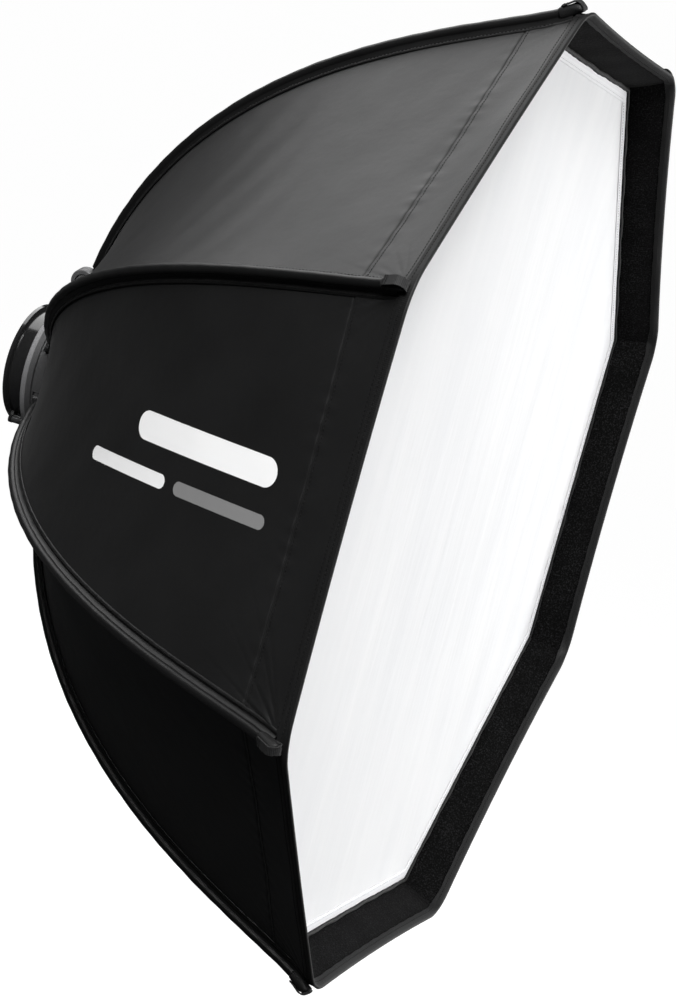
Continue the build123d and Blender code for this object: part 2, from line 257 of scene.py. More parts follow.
class Piece:
    """Collects the surfaces of one mesh: points in mm, UVs in metres, bend weights and materials."""

    def __init__(self):
        self.co, self.uv, self.w, self.nor = [], [], [], []
        self.faces, self.mat, self.hard = [], [], []
        self.count = 0

    def add(self, co, uv, w, faces, mat=0, hard=False, nor=None):
        co = np.asarray(co, float).reshape(-1, 3)
        start = self.count
        self.co.append(co)
        self.uv.append(np.asarray(uv, float).reshape(-1, 2))
        self.w.append(np.broadcast_to(np.asarray(w, float).reshape(-1) if np.ndim(w) else float(w), (len(co),)))
        self.nor.append(np.zeros((len(co), 3)) if nor is None else np.asarray(nor, float).reshape(-1, 3))
        self.count += len(co)
        self.extra(faces, start, mat, hard)
        return start

    def extra(self, faces, start=0, mat=0, hard=False):
        for f in faces:
            self.faces.append([int(k) + start for k in f])
            self.mat.append(mat)
            self.hard.append(hard)

    def build(self, name, materials):
        co = np.concatenate(self.co) * MM
        mesh = bpy.data.meshes.new(name)
        mesh.from_pydata(co.tolist(), [], self.faces)
        for m in materials:
            mesh.materials.append(m)
        mesh.polygons.foreach_set("material_index", np.array(self.mat, np.int32))
        mesh.polygons.foreach_set("use_smooth", np.ones(len(self.faces), bool))
        loops = np.empty(len(mesh.loops), np.int32)
        mesh.loops.foreach_get("vertex_index", loops)
        layer = mesh.uv_layers.new(name="UVMap")
        layer.data.foreach_set("uv", np.concatenate(self.uv)[loops].astype(np.float32).ravel())
        self.set_normals(mesh, loops)
        mesh.update()
        obj = bpy.data.objects.new(name, mesh)
        bpy.context.scene.collection.objects.link(obj)
        self.obj = obj
        return obj

    def set_normals(self, mesh, loops):
        """Smooth normals that leave out the flat ends, so that neighbours meet without a line."""
        pn = np.empty(len(mesh.polygons) * 3)
        mesh.polygons.foreach_get("normal", pn)
        pn = pn.reshape(-1, 3)
        area = np.empty(len(mesh.polygons))
        mesh.polygons.foreach_get("area", area)
        totals = np.empty(len(mesh.polygons), np.int32)
        mesh.polygons.foreach_get("loop_total", totals)
        owner = np.repeat(np.arange(len(totals)), totals)
        hard = np.array(self.hard)[owner]
        vn = np.zeros((self.count, 3))
        np.add.at(vn, loops[~hard], (pn * area[:, None])[owner[~hard]])
        given = np.concatenate(self.nor)
        has = np.abs(given).sum(1) > 0
        vn[has] = given[has]
        vn /= np.maximum(np.linalg.norm(vn, axis=1, keepdims=True), 1e-12)
        mesh.normals_split_custom_set(np.where(hard[:, None], pn[owner], vn[loops]).tolist())

    def bend(self):
        obj = self.obj
        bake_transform(obj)
        return obj

    def ride(self, body):
        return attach(self.obj, body)


def grid(rows, cols, closed=False):
    i, j = np.meshgrid(np.arange(rows - 1), np.arange(cols if closed else cols - 1), indexing="ij")
    n = (j + 1) % cols
    return np.stack([i * cols + j, i * cols + n, (i + 1) * cols + n, (i + 1) * cols + j], -1).reshape(-1, 4)


def volume(co, faces):
    total = 0.0
    for f in faces:
        a = co[f[0]]
        for k in range(1, len(f) - 1):
            total += np.dot(a, np.cross(co[f[k]], co[f[k + 1]]))
    return total


def tube(piece, rings, uv, w, mat=0, soft_ends=False):
    """A closed skin over rings of points, one after another, with an end face on each."""
    rings = np.asarray(rings, float)
    rows, cols = rings.shape[:2]
    co = rings.reshape(-1, 3)
    faces = grid(rows, cols, closed=True)
    ends = [list(range(cols))[::-1], list(range((rows - 1) * cols, rows * cols))]
    centre = co.mean(0)
    if volume(co - centre, list(faces) + ends) < 0:
        faces, ends = faces[:, ::-1], [e[::-1] for e in ends]
    start = piece.add(co, uv, w, faces, mat)
    piece.extra(ends, start, mat, hard=not soft_ends)


def sheet_between(piece, gore, s, v, outer, inner, mats=(0, 0), uv_shift=0.0):
    """A closed thin cloth between two lifts of a gore's face, on a grid of s and v."""
    rows, cols = s.shape
    normal = gore.face_normal(s, v)
    uv = np.stack([s * MM, v * MM + uv_shift], -1).reshape(-1, 2)
    w = rod_weight(gore, s, v)
    faces = grid(rows, cols)
    a = piece.add(gore.point(s, v, outer), uv, w, faces, mats[0], nor=normal)
    b = piece.add(gore.point(s, v, inner), uv, w, faces[:, ::-1], mats[1], nor=-normal)
    rim = []
    for j in range(cols - 1):
        rim.append((a + j + 1, a + j, b + j, b + j + 1))
        r = (rows - 1) * cols + j
        rim.append((a + r, a + r + 1, b + r + 1, b + r))
    for i in range(rows - 1):
        p, q = i * cols, (i + 1) * cols
        rim.append((a + p, a + q, b + q, b + p))
        p, q = p + cols - 1, q + cols - 1
        rim.append((a + q, a + p, b + p, b + q))
    piece.extra(rim, 0, mats[0], hard=True)


def stitches(piece, places, ahead, up, w, length, radius, mat):
    """A row of thread stitches: each is a short spindle lying along the row."""
    ahead = ahead / np.linalg.norm(ahead, axis=-1, keepdims=True)
    side = np.cross(ahead, up)
    side /= np.linalg.norm(side, axis=-1, keepdims=True)
    up = np.cross(side, ahead)
    ring = [(math.cos(k * 1.2566), math.sin(k * 1.2566)) for k in range(5)]
    parts = [places - ahead * length / 2]
    for t in (-0.3, 0.3):
        for c, sn in ring:
            parts.append(places + ahead * length * t + radius * (side * c + up * sn))
    parts.append(places + ahead * length / 2)
    co = np.stack(parts, 1)
    base = [(0, 1 + (k + 1) % 5, 1 + k) for k in range(5)]
    base += [(1 + k, 1 + (k + 1) % 5, 6 + (k + 1) % 5, 6 + k) for k in range(5)]
    base += [(11, 6 + k, 6 + (k + 1) % 5) for k in range(5)]
    flip = volume(co[0] - co[0].mean(0), base) < 0
    faces = []
    for n in range(len(places)):
        faces += [[12 * n + k for k in (f[::-1] if flip else f)] for f in base]
    uv = np.repeat(np.stack([np.arange(len(places)) * 0.004, np.zeros(len(places))], -1), 12, axis=0)
    piece.add(co.reshape(-1, 3), uv, np.repeat(w, 12), faces, mat)


# ------------------------------------------------------------------- materials


def new_material(name, **sockets):
    mat = bpy.data.materials.new(name)
    mat.use_nodes = True
    bsdf = mat.node_tree.nodes["Principled BSDF"]
    for key, value in sockets.items():
        bsdf.inputs[key.replace("_", " ")].default_value = value
    return mat, mat.node_tree.nodes, mat.node_tree.links, bsdf


def node(nodes, kind, **settings):
    n = nodes.new(kind)
    for key, value in settings.items():
        if key[0].isupper():
            n.inputs[key.replace("_", " ")].default_value = value
        else:
            setattr(n, key, value)
    return n


def math_node(nodes, links, operation, a, b=None, c=None, clamp=False):
    n = node(nodes, "ShaderNodeMath", operation=operation, use_clamp=clamp)
    for k, x in enumerate((a, b, c)):
        if x is None:
            continue
        if isinstance(x, (int, float)):
            n.inputs[k].default_value = x
        else:
            links.new(x, n.inputs[k])
    return n.outputs[0]


def coords(nodes, links, kind, stretch=(1, 1, 1)):
    tc = node(nodes, "ShaderNodeTexCoord")
    mp = node(nodes, "ShaderNodeMapping", Scale=stretch)
    links.new(tc.outputs[kind], mp.inputs["Vector"])
    return mp.outputs[0]


def noise(nodes, links, vector, scale, detail=3.0, rough=0.55):
    n = node(nodes, "ShaderNodeTexNoise", Scale=scale, Detail=detail, Roughness=rough)
    links.new(vector, n.inputs["Vector"])
    return n.outputs["Fac"]


def wave(nodes, links, vector, period, direction="X", distortion=0.0):
    n = node(nodes, "ShaderNodeTexWave", bands_direction=direction, wave_type="BANDS", Scale=0.31416 / period,
             Distortion=distortion)
    links.new(vector, n.inputs["Vector"])
    return n.outputs["Fac"]


def ramp(nodes, links, fac, stops):
    n = node(nodes, "ShaderNodeValToRGB")
    el = n.color_ramp.elements
    while len(el) < len(stops):
        el.new(0.5)
    for e, (at, colour) in zip(el, stops):
        e.position = at
        e.color = (*colour, 1)
    links.new(fac, n.inputs["Fac"])
    return n.outputs["Color"]


def bump(nodes, links, height, strength, distance, before=None):
    n = node(nodes, "ShaderNodeBump", Strength=strength, Distance=distance)
    links.new(height, n.inputs["Height"])
    if before is not None:
        links.new(before, n.inputs["Normal"])
    return n.outputs["Normal"]


def grey(x):
    return (x, x, x * 1.02)


def nylon(name, light, dark, rough, sheen=0.0, mark=None):
    """Tight plain-weave nylon: fine weave, faint unevenness, satin reflection."""
    mat, nodes, links, bsdf = new_material(name, Specular_IOR_Level=0.34, Sheen_Weight=sheen, Sheen_Roughness=0.45)
    uv = coords(nodes, links, "UV")
    weave = math_node(nodes, links, "MULTIPLY", wave(nodes, links, uv, 0.0009, "X"),
                      wave(nodes, links, uv, 0.0009, "Y"))
    slub = noise(nodes, links, coords(nodes, links, "UV", (1, 9, 1)), 160, 2)
    broad = noise(nodes, links, uv, 9, 3)
    mix = math_node(nodes, links, "MULTIPLY_ADD", slub, 0.45, math_node(nodes, links, "MULTIPLY", broad, 0.55))
    colour = ramp(nodes, links, mix, [(0.32, grey(dark)), (0.68, grey(light))])
    if mark:
        colour = mark(nodes, links, uv, colour)
    links.new(colour, bsdf.inputs["Base Color"])
    links.new(math_node(nodes, links, "MULTIPLY_ADD", broad, 0.12, rough - 0.06), bsdf.inputs["Roughness"])
    soft = bump(nodes, links, noise(nodes, links, uv, 24, 3), 0.25, 0.003)
    links.new(bump(nodes, links, weave, 0.25, 0.00012, soft), bsdf.inputs["Normal"])
    return mat


# Centre, half sizes and corner radius of each bar in metres on the cloth, and its tone
BARS = (
    (0.466, -0.0135, 0.0900, 0.0125, 0.0125, 0.86),
    (0.373, 0.0265, 0.0580, 0.0062, 0.0062, 0.82),
    (0.500, 0.0265, 0.0560, 0.0062, 0.0062, 0.20),
)


def plain_bars(nodes, links, uv, colour):
    """A generic mark of plain rounded bars, in print white."""
    sep = node(nodes, "ShaderNodeSeparateXYZ")
    links.new(uv, sep.inputs[0])
    for cx, cy, hx, hy, r, tint in BARS:
        dx = math_node(nodes, links, "MAXIMUM", math_node(nodes, links, "SUBTRACT", math_node(
            nodes, links, "ABSOLUTE", math_node(nodes, links, "SUBTRACT", sep.outputs[0], cx)), hx - r), 0.0)
        dy = math_node(nodes, links, "MAXIMUM", math_node(nodes, links, "SUBTRACT", math_node(
            nodes, links, "ABSOLUTE", math_node(nodes, links, "SUBTRACT", sep.outputs[1], cy)), hy - r), 0.0)
        d = math_node(nodes, links, "SQRT", math_node(nodes, links, "MULTIPLY_ADD", dx, dx, math_node(
            nodes, links, "MULTIPLY", dy, dy)))
        fac = math_node(nodes, links, "MULTIPLY_ADD", math_node(nodes, links, "SUBTRACT", d, r), -2500.0, 0.5,
                        clamp=True)
        mix = node(nodes, "ShaderNodeMix", data_type="RGBA")
        links.new(fac, mix.inputs[0])
        links.new(colour, mix.inputs[6])
        mix.inputs[7].default_value = (tint, tint, tint, 1)
        colour = mix.outputs[2]
    return colour


def velour():
    """Hook-and-loop band: a dark fuzzy pile with pale specks."""
    mat, nodes, links, bsdf = new_material("lip_velour", Specular_IOR_Level=0.06, Roughness=0.95, Sheen_Weight=0.006,
                                           Sheen_Roughness=0.4)
    uv = coords(nodes, links, "UV")
    fine = noise(nodes, links, uv, 520, 2, 0.8)
    fuzz = noise(nodes, links, uv, 210, 3, 0.7)
    broad = noise(nodes, links, uv, 28, 2)
    mix = math_node(nodes, links, "MULTIPLY_ADD", fuzz, 0.22, math_node(nodes, links, "MULTIPLY", broad, 0.10))
    mix = math_node(nodes, links, "MULTIPLY_ADD", fine, 0.7, mix)
    links.new(ramp(nodes, links, mix, [(0.40, grey(0.0008)), (0.53, grey(0.0026)), (0.66, grey(0.022))]),
              bsdf.inputs["Base Color"])
    links.new(bump(nodes, links, fuzz, 0.7, 0.0009), bsdf.inputs["Normal"])
    return mat


def tape(name, light, dark, rough, period=0.0016, direction="X", strength=0.5):
    """Woven tape with ribs across it."""
    mat, nodes, links, bsdf = new_material(name, Specular_IOR_Level=0.28, Sheen_Weight=0.015, Sheen_Roughness=0.5)
    uv = coords(nodes, links, "UV")
    ribs = wave(nodes, links, uv, period, direction, 0.4)
    worn = noise(nodes, links, uv, 420, 3)
    mix = math_node(nodes, links, "MULTIPLY_ADD", ribs, 0.35, math_node(nodes, links, "MULTIPLY", worn, 0.65))
    links.new(ramp(nodes, links, mix, [(0.25, grey(dark)), (0.72, grey(light))]), bsdf.inputs["Base Color"])
    links.new(math_node(nodes, links, "MULTIPLY_ADD", worn, 0.2, rough - 0.1), bsdf.inputs["Roughness"])
    links.new(bump(nodes, links, mix, strength, 0.0004), bsdf.inputs["Normal"])
    return mat


def thread(name, value):
    mat, nodes, links, bsdf = new_material(name, Specular_IOR_Level=0.2, Roughness=0.7)
    twist = wave(nodes, links, coords(nodes, links, "Object", (1, 1, 1)), 0.0011, "DIAGONAL")
    links.new(ramp(nodes, links, twist, [(0.2, grey(value * 0.55)), (0.8, grey(value))]), bsdf.inputs["Base Color"])
    links.new(bump(nodes, links, twist, 0.4, 0.0001), bsdf.inputs["Normal"])
    return mat


def white_cloth():
    """Translucent white front cloth: faint upright wrinkles, puckers along its border seam. Its base colour darkens
    along the same upright wrinkle noise, as painted shade in the wrinkles.
    """
    mat, nodes, links, bsdf = new_material("front_white_nylon", Specular_IOR_Level=0.3, Roughness=0.62,
                                           Sheen_Weight=0.1, Sheen_Roughness=0.5)
    obj = coords(nodes, links, "Object")
    uv = coords(nodes, links, "UV")
    weave = math_node(nodes, links, "MULTIPLY", wave(nodes, links, obj, 0.0010, "X"),
                      wave(nodes, links, obj, 0.0010, "Z"))
    drape = noise(nodes, links, coords(nodes, links, "Object", (9, 1, 1.6)), 2.4, 4, 0.5)
    broad = noise(nodes, links, obj, 5, 2)
    sep = node(nodes, "ShaderNodeSeparateXYZ")
    links.new(uv, sep.inputs[0])
    edge = math_node(nodes, links, "SUBTRACT", 0.425, sep.outputs[0])
    near = math_node(nodes, links, "MULTIPLY_ADD", edge, -28.0, 1.0, clamp=True)
    pucker = math_node(nodes, links, "MULTIPLY", near,
                       noise(nodes, links, coords(nodes, links, "UV", (6, 60, 1)), 1.6, 3))
    # Painted shade: the base colour follows the upright wrinkle noise (drape), which also drives the wrinkle bump,
    # mixed with random tone from broad
    tone = math_node(nodes, links, "MULTIPLY_ADD", drape, 0.6, math_node(nodes, links, "MULTIPLY", broad, 0.4))
    links.new(ramp(nodes, links, tone, [(0.3, (0.83, 0.835, 0.85)), (0.7, (0.90, 0.90, 0.905))]),
              bsdf.inputs["Base Color"])
    b = bump(nodes, links, drape, 0.35, 0.010)
    b = bump(nodes, links, pucker, 0.5, 0.005, b)
    links.new(bump(nodes, links, weave, 0.2, 0.0001, b), bsdf.inputs["Normal"])
    return mat


def silver():
    mat, nodes, links, bsdf = new_material("silver_lining", Metallic=0.85, Specular_IOR_Level=0.5)
    uv = coords(nodes, links, "UV")
    leather = noise(nodes, links, uv, 520, 3)
    links.new(ramp(nodes, links, leather, [(0.3, (0.55, 0.55, 0.56)), (0.7, (0.80, 0.80, 0.81))]),
              bsdf.inputs["Base Color"])
    links.new(math_node(nodes, links, "MULTIPLY_ADD", leather, 0.2, 0.22), bsdf.inputs["Roughness"])
    links.new(bump(nodes, links, leather, 0.5, 0.0006), bsdf.inputs["Normal"])
    return mat


def hard(name, light, dark, rough, metallic=0.0, specks=900, speck_bump=0.2, coat=0.0, spread=0.08):
    """A moulded, painted or machined surface with fine speckle and slight uneven gloss."""
    mat, nodes, links, bsdf = new_material(name, Metallic=metallic, Specular_IOR_Level=0.5, Coat_Weight=coat,
                                           Coat_Roughness=0.08)
    obj = coords(nodes, links, "Object")
    fine = noise(nodes, links, obj, specks, 3, 0.6)
    broad = noise(nodes, links, obj, 35, 3)
    links.new(ramp(nodes, links, fine, [(0.34, grey(dark)), (0.66, grey(light))]), bsdf.inputs["Base Color"])
    links.new(math_node(nodes, links, "MULTIPLY_ADD", broad, spread, rough - spread / 2), bsdf.inputs["Roughness"])
    links.new(bump(nodes, links, fine, speck_bump, 0.0002), bsdf.inputs["Normal"])
    return mat


SHELL = nylon("shell_nylon", 0.0085, 0.0055, 0.46, 0.02)
SHELL_MARKED = nylon("shell_nylon_marked", 0.0085, 0.0055, 0.46, 0.02, mark=plain_bars)
SLEEVE = nylon("sleeve_nylon", 0.006, 0.003, 0.40, 0.02)
SILVER = silver()
VELOUR = velour()
BINDING = tape("binding_tape", 0.0075, 0.0025, 0.60)
PIPING = tape("piping_tape", 0.0080, 0.0025, 0.62, 0.0022, "Y")
WEBBING = tape("pocket_webbing", 0.024, 0.006, 0.72, 0.0014, "X", 0.8)
THREAD = thread("black_thread", 0.0035)
THREAD_PALE = thread("white_thread", 0.80)
WHITE = white_cloth()
WHITE_TAPE = tape("front_white_tape", 0.93, 0.86, 0.6, 0.0016, "Y", 0.3)

CAD_LOOKS = {
    "mount_collar": hard("collar_gloss_black", 0.012, 0.008, 0.16, 0.0, 500, 0.03, coat=0.6),
    "clamp_liner": hard("liner_rubber", 0.020, 0.012, 0.75, 0.0, 1500, 0.3, spread=0.2),
    "retaining_ring": hard("spring_steel", 0.45, 0.33, 0.32, 1.0, 900, 0.1),
    "clamp_lever": hard("lever_satin", 0.10, 0.06, 0.34, 0.7, 1200, 0.15),
    "lever_pin": hard("pin_steel", 0.52, 0.40, 0.28, 1.0, 900, 0.1),
    "speedring_rear_plate": hard("plate_powder_coat", 0.25, 0.13, 0.48, 0.25, 1400, 0.35, spread=0.16),
    "speedring_front_plate": hard("ring_block_satin", 0.09, 0.05, 0.42, 0.25, 1400, 0.3, spread=0.16),
    "speedring_screws": hard("screw_black_oxide", 0.05, 0.03, 0.36, 0.9, 1200, 0.15),
    "holder_pins": hard("holder_pin_steel", 0.50, 0.38, 0.30, 1.0, 900, 0.1),
    "rod_guard": hard("guard_satin", 0.16, 0.09, 0.46, 0.3, 1300, 0.3, spread=0.15),
    "rod_holder": hard("holder_satin_black", 0.045, 0.025, 0.40, 0.3, 1300, 0.25, spread=0.15),
    "rod": hard("rod_fibreglass", 0.035, 0.018, 0.35, 0.0, 1800, 0.2),
}
for name, obj in NODES.items():
    key = name if name in CAD_LOOKS else name.rsplit("_", 1)[0]
    if key in CAD_LOOKS:
        for material_slot in obj.material_slots:
            material_slot.material = CAD_LOOKS[key]

# ---------------------------------------------------------- shell, lip, edges


def spaced(start, end, step, extra=()):
    values = list(np.linspace(start, end, max(2, int(round((end - start) / step)) + 1)))
    return np.array(sorted(set(np.round(values + [x for x in extra if start < x < end], 4))))


SEAM_LINES = [SEAM_S + d for d in (-6, -4, -2.6, -1.8, -1.2, -0.8, -0.4, 0, 0.4, 0.8, 1.4, 2.2, 3.4, 5)]
SHELL_S = np.concatenate([spaced(0, LENGTH - 96, 9.0), spaced(LENGTH - 92, LENGTH, 3.1, SEAM_LINES)])
ACROSS = 1 - np.linspace(0, 1, 55) ** 1.45


def across_line(side):
    """Shares of the half width, in the order of rising v."""
    x = ACROSS if side == 1 else ACROSS[::-1]
    return -x if side == 1 else x


def half_grid(side, s_values):
    x = across_line(side)
    s = np.repeat(s_values[:, None], len(x), 1)
    return s, x[None, :] * half_width(s)


def edge_wrap(piece, gore, side, s_edge, back, thick, inner, mat, wobble=0.0, sign=1):
    """Folded tape over a cloth edge: sign 1 is the front edge and -1 the rear one."""
    x = across_line(side)
    v = x * half_width(s_edge)
    section = [(-back, 0.15), (-back, thick), (-back * 0.5, thick + 0.15), (-1.2, thick), (0.2, thick * 0.75),
               (1.1, 0.1), (1.35, -inner * 0.45), (1.1, -inner * 0.9), (0.2, -inner - thick * 0.6),
               (-1.2, -inner - thick),
               (-back * 0.5, -inner - thick - 0.1), (-back, -inner - thick), (-back, -inner - 0.1)]
    rings = []
    for ds, h in section:
        wob = wobble * np.sin(v / 4.3 + gore.number) * (abs(ds) / back)
        s = s_edge + sign * (ds + wob)
        rings.append(gore.point(np.full_like(v, 0) + s, v, h))
    rings = np.stack(rings, 1)
    uv = np.stack([np.repeat(v[:, None], len(section), 1) * MM + gore.number * 0.3,
                   np.broadcast_to(np.array([k * 0.0016 for k in range(len(section))]), (len(v), len(section)))], -1)
    w = np.repeat(rod_weight(gore, np.full_like(v, s_edge), v)[:, None], len(section), 1)
    tube(piece, rings, uv.reshape(-1, 2), w.reshape(-1), mat)


def seam_row(piece, gore, side, s_row, lift, radius=0.36):
    """Stitches across half a gore, at distance s_row."""
    w = float(half_width(s_row))
    v = np.arange(STITCH_PITCH / 2, w - 7, STITCH_PITCH) * (-1 if side == 1 else 1)
    s = np.full_like(v, s_row)
    ahead = gore.point(s, v + 0.5, lift) - gore.point(s, v - 0.5, lift)
    stitches(piece, gore.point(s, v, lift), ahead, gore.face_normal(s, v), rod_weight(gore, s, v),
             STITCH_LENGTH, radius, 1)


def piping(piece, gore, side):
    """Slightly wavy covered cord along the inner edge of the lip."""
    x = across_line(side)
    s0 = LIP_S - 0.5
    v = x * (half_width(s0) - 1.5)
    angles = np.linspace(0, 2 * math.pi, 10, endpoint=False)
    wave_s = 0.45 * np.sin(v / 9.0 + gore.number * 2.0) + 0.15 * np.sin(v / 3.1 + 1.0)
    rings = np.stack([gore.point(s0 + wave_s + 2.3 * math.cos(a), v, -CLOTH - 2.7 + 2.3 * math.sin(a))
                      for a in angles], 1)
    uv = np.stack([np.repeat(v[:, None], len(angles), 1) * MM,
                   np.broadcast_to(angles * 0.002, (len(v), len(angles)))], -1)
    w = np.repeat(rod_weight(gore, np.full_like(v, s0), v)[:, None], len(angles), 1)
    tube(piece, rings, uv.reshape(-1, 2), w.reshape(-1), 0)


pieces_of_rod = {}

for rod in range(1, 9):
    for letter, side in (("a", 1), ("b", -1)):
        gore = GORES[rod % 8 if side == 1 else rod - 1]
        label = f"{rod}{letter}"
        sign = -1 if side == 1 else 1
        mid = (gore.point(300.0, 0.0)).tolist()
        at_rod = (gore.point(300.0, float(sign * half_width(300.0)))).tolist()

        shell = Piece()
        s, v = half_grid(side, SHELL_S)
        sheet_between(shell, gore, s, v, 0.0, -CLOTH, (0, 1), gore.number * 1.0 if gore.number != 4 else 0.0)
        obj = shell.build(f"shell_{label}", [SHELL_MARKED if gore.number == 4 else SHELL, SILVER])
        shell.bend()
        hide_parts(f"shell_half_{label}")

        lip = Piece()
        s, v = half_grid(side, spaced(LIP_S, LENGTH - 0.5, 5.0))
        sheet_between(lip, gore, s, v, -CLOTH - 0.05, -CLOTH - 1.3, (0, 0), gore.number * 0.5)
        lip_obj = lip.build(f"lip_{label}", [VELOUR])
        lip.bend()

        trim = Piece()
        edge_wrap(trim, gore, side, LENGTH, 9.5, 0.75, CLOTH + 1.4, 0, wobble=0.25)
        edge_wrap(trim, gore, side, 0.0, 7.0, 0.7, CLOTH + 0.2, 0, wobble=0.15, sign=-1)
        seam_row(trim, gore, side, LENGTH - 5.0, 1.0)
        seam_row(trim, gore, side, LENGTH - 13.5, 0.2, radius=0.3)
        seam_row(trim, gore, side, LENGTH - 5.5, -CLOTH - 2.25)
        seam_row(trim, gore, side, SEAM_S + 3.2, 0.2, radius=0.3)
        seam_row(trim, gore, side, 4.6, 0.85)
        trim_obj = trim.build(f"edge_trim_{label}", [BINDING, THREAD])
        trim.bend()

        pipe = Piece()
        piping(pipe, gore, side)
        pipe_obj = pipe.build(f"lip_piping_{label}", [PIPING])
        pipe.bend()
        pieces_of_rod.setdefault(rod, []).append((obj, [trim_obj]))

# --------------------------------------------------------- sleeves and pockets


def rod_frame(rod):
    a = HALF + (rod - 1) * 2 * HALF
    out = np.array([math.cos(a), 0, math.sin(a)])
    return out, np.array([-math.sin(a), 0, math.cos(a)])


def rod_point(rod, s, e, h):
    """Point beside a rod: s along the corner, e across it and h outwards from the shell's corner."""
    out, across = rod_frame(rod)
    s, e, h = np.broadcast_arrays(np.asarray(s, float), np.asarray(e, float), np.asarray(h, float))
    ry, t = corner(s), corner_tangent(s)
    r = ry[..., 0] - t[..., 1] * h
    y = ry[..., 1] + t[..., 0] * h
    return r[..., None] * out + y[..., None] * np.array([0, 1.0, 0]) + e[..., None] * across


def fall(s, e):
    """How far the panels beside a corner lie below it, at e across."""
    return -np.abs(e) * math.tan(HALF) * -corner_tangent(s)[..., 1]


def sleeve(rod):
    piece = Piece()
    s = spaced(40.0 if rod == 3 else 3.0, LENGTH - 16, 4.2)
    lift = rod_lift(s)
    top = [(4.4 * math.cos(a), 4.4 * math.sin(a), 0) for a in np.radians(np.linspace(-38, 218, 19))]
    foot = [(9.9, -0.3, 1), (9.5, 0.55, 1), (8.7, 1.25, 1), (7.7, 1.3, 1), (6.9, 0.75, 1), (6.0, 0.12, 1),
            (5.0, 0.1, 1)]
    under = [(-9.0, -0.55, 1), (-4.0, -0.6, 1), (0.0, -0.6, 1), (4.0, -0.6, 1), (9.0, -0.55, 1)]
    section = foot + top + [(-e, h, k) for e, h, k in foot[::-1]] + under
    rng = np.random.default_rng(rod)
    p = rng.uniform(0, 6.28, 4)
    ripple = 1 + 0.030 * np.sin(s / 9.0 + p[0]) * np.sin(s / 41.0 + p[1]) + 0.022 * np.sin(s / 3.9 + p[2])
    rings = []
    for e, h, on_panel in section:
        if on_panel:
            ridge = 1 + 0.22 * np.sin(s / 2.6 + p[3] + e)
            rings.append(rod_point(rod, s, e, fall(s, np.full_like(s, e)) + h * (ridge if h > 0.2 else 1)))
        else:
            rings.append(rod_point(rod, s, e * ripple, lift + h * ripple))
    rings = np.stack(rings, 1)
    n = len(section)
    uv = np.stack([np.repeat(s[:, None], n, 1) * MM, np.broadcast_to(np.arange(n) * 0.0016 + rod, (len(s), n))], -1)
    tube(piece, rings, uv.reshape(-1, 2), 0.0, 0)
    along = np.arange(46.0 if rod == 3 else 8.0, LENGTH - 34, 3.6)
    for e in (8.2, -8.2):
        at = rod_point(rod, along, e, fall(along, np.full_like(along, e)) + 1.5)
        ahead = rod_point(rod, along + 1, e, 0) - rod_point(rod, along - 1, e, 0)
        up = rod_point(rod, along, e, 1.0) - rod_point(rod, along, e, 0.0)
        stitches(piece, at, ahead, up, np.zeros(len(along)), 2.4, 0.34, 1)
    obj = piece.build(f"rod_sleeve_{rod}", [SLEEVE, THREAD])
    piece.ride(f"rib_{rod}")
    return obj


def band(piece, rod, path, width, thick, mat, taper):
    """A strap of webbing that follows a path of (s, h) in the rod's plane."""
    path = np.array(path, float)
    fine = np.linspace(0, len(path) - 1, (len(path) - 1) * 5 + 1)
    sh = np.stack([catmull(path[:, k], fine) for k in (0, 1)], -1)
    d = np.gradient(sh, axis=0)
    d /= np.linalg.norm(d, axis=1, keepdims=True)
    n = np.stack([-d[:, 1], d[:, 0]], -1)
    section = [(-0.5, -0.5), (-0.5, 0.5), (-0.46, 0.62), (-0.2, 0.5), (0, 0.55), (0.2, 0.5), (0.46, 0.62),
               (0.5, 0.5), (0.5, -0.5), (0, -0.5)]
    size = np.interp(fine, np.arange(len(taper)), taper)
    rings = np.stack([rod_point(rod, sh[:, 0] + n[:, 0] * b * thick, a * width * size,
                                sh[:, 1] + n[:, 1] * b * thick) for a, b in section], 1)
    run = np.concatenate([[0], np.cumsum(np.linalg.norm(np.diff(sh, axis=0), axis=1))]) * MM
    across = np.array([a for a, _ in section]) * width * MM
    uv = np.stack([np.repeat(run[:, None], len(section), 1), np.broadcast_to(across, (len(run), len(section)))], -1)
    tube(piece, rings, uv.reshape(-1, 2), 0.0, mat)


def catmull(values, t):
    """Smooth curve through values at 0, 1, 2, and so on."""
    v = np.concatenate([[2 * values[0] - values[1]], values, [2 * values[-1] - values[-2]]])
    i = np.clip(np.floor(t).astype(int), 0, len(values) - 2)
    f = t - i
    a, b, c, d = v[i], v[i + 1], v[i + 2], v[i + 3]
    return 0.5 * (2 * b + (c - a) * f + (2 * a - 5 * b + 4 * c - d) * f ** 2 + (3 * b - a - 3 * c + d) * f ** 3)


